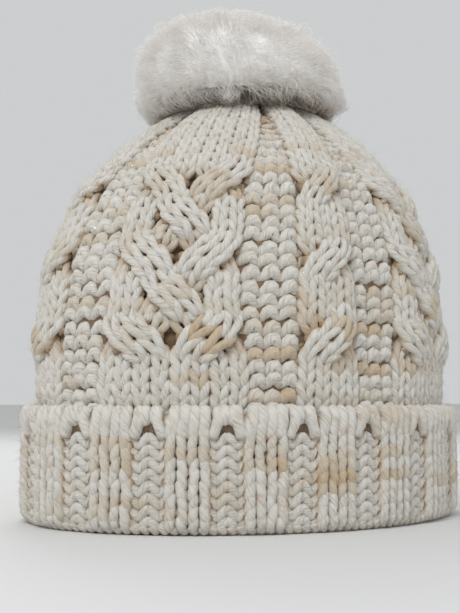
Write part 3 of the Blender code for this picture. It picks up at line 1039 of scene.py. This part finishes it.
# %% Fur
def fur_material(name, clear):
    """Acrylic pile: white, with painted shade, warmer where the crown shades it, soft and glossless.

    Light passes through the thin tips, and clear is how much of it does.
    """
    tree = new_material(name)
    deep_shade = add_node(tree, "ShaderNodeAttribute", {"attribute_name": "depth"})
    # Painted shade: the more shaded a place is, the warmer and darker its colour is painted.
    tone = add_node(
        tree, "ShaderNodeValToRGB", stops=((0.0, "#FFFFFF"), (0.35, "#F8F5F0"), (1.0, "#B39F86")),
        Fac=deep_shade.outputs["Fac"],
    )
    each = add_node(tree, "ShaderNodeAttribute", {"attribute_name": "marl"})
    grey = add_node(
        tree, "ShaderNodeValToRGB", stops=((0.0, "#FFFFFF"), (1.0, "#F1EFED")), Fac=each.outputs["Fac"]
    )
    colour = add_node(
        tree, "ShaderNodeMix", {"data_type": "RGBA", "blend_type": "MULTIPLY"},
        _0=1.0, _6=tone.outputs["Color"], _7=grey.outputs["Color"],
    )
    shader = add_node(
        tree, "ShaderNodeBsdfPrincipled", Base_Color=colour.outputs[2], Roughness=0.8,
        Specular_IOR_Level=0.3, Sheen_Weight=1.0, Sheen_Roughness=0.7,
    )
    through = add_node(tree, "ShaderNodeBsdfTranslucent", Color=colour.outputs[2])
    both = add_node(
        tree, "ShaderNodeMixShader", Fac=clear, _1=shader.outputs[0], _2=through.outputs[0]
    )
    add_node(tree, "ShaderNodeOutputMaterial", Surface=both.outputs[0])
    return bpy.data.materials[name]


down_fur = fur_material("acrylic_underfur", 0.0)
fur = fur_material("acrylic_fur_pile", 0.6)
print("fur:", len(fur.node_tree.nodes), "nodes")


# %% [markdown]
# ## The wadding core
# A ball of wadding fills the fur. It starts from a sphere of even triangles, which has no poles to
# pinch, and crossing waves make it lumpy. A cloth simulation would show nothing more under the fur.

# %% The wadding core
def ball_points(levels):
    """A ball's object and its directions, from a sphere of even triangles."""
    bpy.ops.object.select_all(action="DESELECT")
    bpy.ops.mesh.primitive_ico_sphere_add(subdivisions=levels, radius=1)
    ball = bpy.context.object
    ways = np.empty(len(ball.data.vertices) * 3)
    ball.data.vertices.foreach_get("co", ways)
    return ball, unit(ways.reshape(-1, 3))


def lumps(ways):
    """Three crossing waves, from -3 to 3, for an uneven surface."""
    waves = (((1, 0.4, 0.2), 5.1), ((-0.3, 1, 0.5), 6.7), ((0.2, -0.6, 1), 8.3))
    return sum(np.sin(ways @ np.array(way) * often + often) for way, often in waves)


low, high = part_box("pompom_filling")
CORE_MIDDLE = np.array([0, 0, (low.z + high.z) / 2 / MM])
CORE_HALF = np.array([35.0, 35.0, 14.3])
LUMP = 0.35  # how far a lump stands out
core, ways = ball_points(5)
core.name = "pompom_core"
points = ways * (CORE_HALF + LUMP * lumps(ways)[:, None]) + CORE_MIDDLE
core.data.vertices.foreach_set("co", (points * MM).ravel())
bpy.ops.object.shade_smooth()
core.data.materials.append(wadding)
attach(core, "pompom")
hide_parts("pompom_filling")
print("core", len(core.data.polygons), "triangles")

# %% [markdown]
# ## Where the crown is
# The pile lies on the crown, so its lowest hairs have to know how high the knit is there. The
# outer face of the knit is measured once, as a height for each distance from the middle.

# %% The crown's outer face
CROWN_REACH = 90  # how far down the meridian it is measured
LOBE = 2.5  # how far the knit's lobes stand out of the plain wall
around, up_hat = np.meshgrid(
    np.arange(0, STITCHES, 3.0), np.linspace(CROWN_END - CROWN_REACH, CROWN_END, 60)
)
crown = inner_face(around, up_hat) + outward(around, up_hat) * (WALL + LOBE)
crown_radius = np.hypot(crown[..., 0], crown[..., 1]).mean(1)[::-1]
crown_height = crown[..., 2].max(1)[::-1]
print("crown under the fur, from", crown_height[0].round(1), "mm down to", crown_height[-1].round(1))

# %% [markdown]
# ## The shape of the pile
# The ends of the pile make a soft ball that is flatter below, hangs at its rim and leans a little.
# One function gives any point in it from a direction and a share of the way out, so that the
# underfur and every hair follow the same form. Tufts are directions that nearby hairs share.

# %% The shape of the pile
POM_MIDDLE = np.array([-2.7, 1.3, 229.0])
POM_HALF = np.array([51.5, 51.5, 34.0])
POM_UNDER = 0.72  # how much flatter the pom-pom is below its middle
POM_FALL = 14.0  # how far the rim of the pile hangs down
POM_LEAN = np.array([-0.89, 0.45, 0.0]) * 9.0  # the pile leans a little to one side
POM_TILT = 8.0  # degrees that the pom-pom flops each way
BOTH_WAYS = math.tan(math.radians(POM_TILT * math.sqrt(2)))  # its slope when it flops both ways
DOWN_SHARE = 0.9  # how far out the dense underfur goes
TUFTS = 330
SPIKY = 0.84  # this share of the tufts isn't drawn out to a spike
fur_rng = np.random.default_rng(4)


def even_ways(count):
    """Evenly spread directions, a little shaken."""
    i = np.arange(count) + 0.5
    z = 1 - 2 * i / count
    turn = math.pi * (1 + 5**0.5) * i
    flat = np.sqrt(1 - z * z)
    ways = np.stack([flat * np.cos(turn), flat * np.sin(turn), z], 1)
    return unit(ways + fur_rng.normal(0, 0.6 / math.sqrt(count), ways.shape))


def pile_point(ways, share):
    """A point of the pom-pom, in a direction from its middle, share of the way out."""
    point = POM_HALF * ways * share
    point = point + POM_LEAN * np.maximum(ways[:, 2:], 0) * share
    point[:, 2] = np.where(point[:, 2] < 0, point[:, 2] * POM_UNDER, point[:, 2])
    rim = np.clip(np.hypot(point[:, 0], point[:, 1]) / 50 - 0.5, 0, 1)
    point[:, 2] -= POM_FALL * (eased((0.35 - ways[:, 2]) / 0.6) * rim)
    return point + POM_MIDDLE


def over_crown(points, lift, slope=0.0):
    """The same points, raised to lie on the crown, or over it, where they would be lower."""
    radial = np.hypot(points[..., 0], points[..., 1])
    ground = np.interp(radial, crown_radius, crown_height) + lift + slope * radial
    points[..., 2] = np.maximum(points[..., 2], ground)
    return points


def shaded(points):
    """How much the crown and the fur above shade a point of the pom-pom, 0 to 1."""
    radial = np.hypot(points[..., 0], points[..., 1])
    near = 1 - eased((radial - 42) / 10)
    return eased((223 - points[..., 2]) / 12) * near


tuft_ways = even_ways(TUFTS)
spiky = fur_rng.uniform(0, 1, TUFTS) > SPIKY
tuft_reach = fur_rng.uniform(0.94, 1.05, TUFTS) + spiky * fur_rng.uniform(0.05, 0.16, TUFTS)
tuft_ends = unit(tuft_ways + fur_rng.normal(0, 0.13, (TUFTS, 3)))

print(TUFTS, "tufts,", int(spiky.sum()), "of them spiky")

# %% [markdown]
# ## Underfur
# Fur this dense doesn't let light through, so the inner nine tenths of the pile is a closed soft
# form. It is lumpy where the tufts part, and its underside leaves room for the pom-pom to flop.

# %% Underfur
CROWN_GAP = 1.2  # between the underfur and the crown
down, ways = ball_points(7)
down.name = "fur_skin"
closest = np.sort(ways @ tuft_ways.T, axis=1)
part_line = np.clip((closest[:, -1] - closest[:, -2]) * 60, 0, 1)
share = DOWN_SHARE * (1 + 0.035 * part_line + 0.012 * lumps(ways))
points = over_crown(pile_point(ways, share[:, None]), CROWN_GAP, BOTH_WAYS)
down.data.vertices.foreach_set("co", (points * MM).ravel())
bpy.ops.object.shade_smooth()
# Painted shade: where the crown shades the underfur, and a little along the lines where its tufts
# part.
values = {"depth": shaded(points) * 0.9 + 0.06 * (1 - part_line), "marl": np.full(len(points), 0.3)}
for key, value in values.items():
    attribute = down.data.attributes.new(key, "FLOAT", "POINT")
    attribute.data.foreach_set("value", value.astype(np.float32))
down.data.materials.append(down_fur)
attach(down, "pompom")
print("underfur", len(down.data.polygons), "triangles, shade up to", values["depth"].max().round(2))

# %% [markdown]
# ## The pile
# Each hair grows from the underfur, is combed a little round and down, and ends partly in its
# tuft's tip. The real pile has hundreds of thousands of hairs. Fewer and thicker ones give the same
# soft outline, and they are shaded flat, because a hair of three sides has no roundness to show.

# %% The pile
HAIRS = 12000
HAIR_POINTS = 5
HAIR = 0.15  # half thickness at the root
LONGER = 0.94  # this share of the hairs isn't longer than the rest
HANG = 9.0  # how far the tips at the rim hang down
FUR_PIECES = 4
ways = even_ways(HAIRS)
near = np.argmax(ways @ tuft_ways.T, axis=1)
root = pile_point(ways, DOWN_SHARE * 0.96)
reach = fur_rng.uniform(0.93, 1.04, (HAIRS, 1))
reach = reach + (fur_rng.uniform(0, 1, (HAIRS, 1)) > LONGER) * fur_rng.uniform(0.03, 0.15, (HAIRS, 1))
combed = unit(ways + 0.16 * np.array([0, 0, -1.0]) + 0.10 * np.cross([0, 0, 1.0], ways))
own_tip = pile_point(unit(combed + fur_rng.normal(0, 0.1, ways.shape)), reach)
tuft_tip = pile_point(tuft_ends[near], tuft_reach[near][:, None])
gather = fur_rng.uniform(0.15, 0.65, (HAIRS, 1)) + 0.3 * spiky[near][:, None]
tip = own_tip * (1 - gather) + tuft_tip * gather
t = np.linspace(0, 1, HAIR_POINTS)[None, :, None]
rise = (ways * POM_HALF * 0.16)[:, None] * np.sin(math.pi * t)
curl = fur_rng.normal(0, 0.5, (HAIRS, 1, 3)) * np.sin(2 * math.pi * t)
lines = root[:, None] * (1 - t) + tip[:, None] * t + rise + curl
hang = (1 - np.abs(ways[:, 2])) * np.clip(0.5 - ways[:, 2], 0, 1)
lines[..., 2] -= (hang * HANG)[:, None] * t[..., 0] ** 2
lines = over_crown(lines, 0.6 + 1.4 * (1 - t[..., 0]))
taper = (1 - t[0, :, 0]) ** 0.7 * 0.88 + 0.12
radius = HAIR * taper * fur_rng.uniform(0.7, 1.2, (HAIRS, 1))
# Painted shade: where the crown shades a hair, and a little towards its root, deep in the pile.
depth = np.maximum(shaded(lines), 0.16 * (1 - t[..., 0]))
shade = fur_rng.uniform(0, 1, HAIRS)
guide = ways[:, None] + 0 * lines + np.array([0.3, 0.2, 0.1])
turn = np.arctan2(ways[:, 1], ways[:, 0]) / (2 * math.pi) + 0.5
quarter = np.floor(turn * FUR_PIECES).astype(int) % FUR_PIECES
for i in range(FUR_PIECES):
    mine = quarter == i
    part = sweep(lines[mine], guide[mine], radius[mine], depth[mine], 0.0, sides=3)
    part["depth"] = np.repeat(depth[mine].reshape(-1), 3)
    part["marl"] = np.repeat(shade[mine], HAIR_POINTS * 3)
    piece = as_object(f"fur_pile_{i + 1}", [part], fur, smooth=False)
    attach(piece, "pompom")
    if i == 0:
        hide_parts("pompom_fur")


# %% [markdown]
# ## The gathering yarn and the drawstring
# These are hidden while the pom-pom is on. The gathering yarn is passed through the last row and
# pulled tight, so it is a thick ring of yarn that coils round. The drawstring of the fur is a thin
# laid cord. Both are one swept strand that winds round a circle.

# %% Coiled rings
def coiled_ring(name, ring, height, coil, thick, turns, material, body, node):
    """A strand that winds round a circle: ring is the circle's radius, coil that of a winding."""
    t = np.linspace(0, 2 * math.pi, turns * 12 + 1)
    wind = t * turns
    r = ring + coil * np.cos(wind)
    line = np.stack([r * np.cos(t), r * np.sin(t), height + coil * np.sin(wind)], 1)[None]
    guide = np.stack([np.cos(t), np.sin(t), 0 * t], 1)[None]
    # The whole strand gets the same middling painted shade.
    part = sweep(line, guide, thick, 0.4, t[None] * 5)
    piece = as_object(name, [part], material)
    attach(piece, body)
    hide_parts(node)


GATHER_RING, GATHER_COIL, GATHER_THICK, GATHER_TURNS = 6.0, 2.5, 1.6, 14
STRING_COIL, STRING_THICK, STRING_TURNS = 0.55, 0.75, 24
coiled_ring(
    "gathering_yarn", GATHER_RING, PIVOT, GATHER_COIL, GATHER_THICK, GATHER_TURNS,
    yarn, "gather", "crown_gather",
)
low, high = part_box("pompom_drawstring")
string_height = (low.z + high.z) / 2 / MM
string_ring = high.x / MM - STRING_COIL - STRING_THICK
# Its last colour is the painted shade.
thread = yarn_material("waxed_cotton_cord", "#EFEBDF", "#E9E3D3", "#E2DAC6", "#C8B79A")
coiled_ring(
    "drawstring", string_ring, string_height, STRING_COIL, STRING_THICK, STRING_TURNS,
    thread, "pompom", "pompom_drawstring",
)


# %% [markdown]
# ## The press stud
# The four metal pieces keep the plain model's shape, which is already that of pressed and turned
# parts, and get a material: steel with bright nickel plating, dulled a little by fine scuffs.

# %% Nickel plate
SCUFF_MM = 1.2  # size of the scuffs, coarser than real so that they show


def nickel(name):
    """Nickel plate on pressed steel: a warm bright metal, with fine scuffs from wear."""
    tree = new_material(name)
    place = add_node(tree, "ShaderNodeTexCoord")
    scuffs = add_node(
        tree, "ShaderNodeTexNoise",
        Vector=place.outputs["Object"], Scale=1 / (SCUFF_MM * MM), Detail=5.0, Roughness=0.7,
    ).outputs["Fac"]
    rough = add_node(tree, "ShaderNodeMapRange", Value=scuffs, To_Min=0.2, To_Max=0.42)
    bump = add_node(tree, "ShaderNodeBump", Strength=0.15, Distance=0.05 * MM, Height=scuffs)
    shader = add_node(
        tree, "ShaderNodeBsdfPrincipled", Base_Color=linear("#C9C5BC"), Metallic=1.0,
        Roughness=rough.outputs[0], Normal=bump.outputs[0],
    )
    add_node(tree, "ShaderNodeOutputMaterial", Surface=shader.outputs[0])
    return bpy.data.materials[name]


plate = nickel("nickel_plated_steel")
for node in ("snap_stud", "snap_washer", "snap_socket", "snap_spring"):
    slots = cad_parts[node].data.materials
    slots.clear()
    slots.append(plate)
print("plated:", len(plate.node_tree.nodes), "nodes in its material")


# %% [markdown]
# ## The studio
# Pale cloth shows its relief by soft shadows. A large key light from the upper left rakes over the
# stitches, a weak fill keeps the right side open and a rim light parts the crown from the backdrop.
# The pale world is both the backdrop and the room's soft light.

# %% Floor, backdrop and lights
bpy.ops.object.select_all(action="DESELECT")
FLOOR = 12.0  # metres from the hat to the floor's edge
LIT_HEIGHT = 0.12  # the lights point at the hat's middle
bpy.ops.mesh.primitive_plane_add(size=FLOOR * 2, location=(0, 0, 0))
floor = bpy.context.object
floor.name = "floor"
tree = new_material("pale_paper_sweep")
shade = add_node(tree, "ShaderNodeBsdfPrincipled", Base_Color=linear("#DCDCDB"), Roughness=0.9)
add_node(tree, "ShaderNodeOutputMaterial", Surface=shade.outputs[0])
floor.data.materials.append(bpy.data.materials["pale_paper_sweep"])

world = bpy.data.worlds.new("studio")
bpy.context.scene.world = world
world.use_nodes = True
world.node_tree.nodes["Background"].inputs["Color"].default_value = linear("#DADCDD")
world.node_tree.nodes["Background"].inputs["Strength"].default_value = 0.86


def softbox(name, place, power, size, colour):
    """A square area light that points at the hat."""
    bpy.ops.object.light_add(type="AREA", location=place)
    lamp = bpy.context.object
    lamp.name = name
    lamp.data.energy = power
    lamp.data.size = size
    lamp.data.color = linear(colour)[:3]
    towards = Vector((0, 0, LIT_HEIGHT)) - Vector(place)
    lamp.rotation_euler = towards.to_track_quat("-Z", "Y").to_euler()
    print(name, "light,", power, "W")


softbox("key", (-0.75, -0.75, 1.05), 8, 0.5, "#FFFFFF")
softbox("fill", (0.9, -0.8, 0.5), 1, 0.8, "#F4F6FF")
softbox("rim", (0.3, 0.9, 1.0), 5, 0.6, "#FFFFFF")
bpy.context.scene.view_settings.view_transform = "Standard"
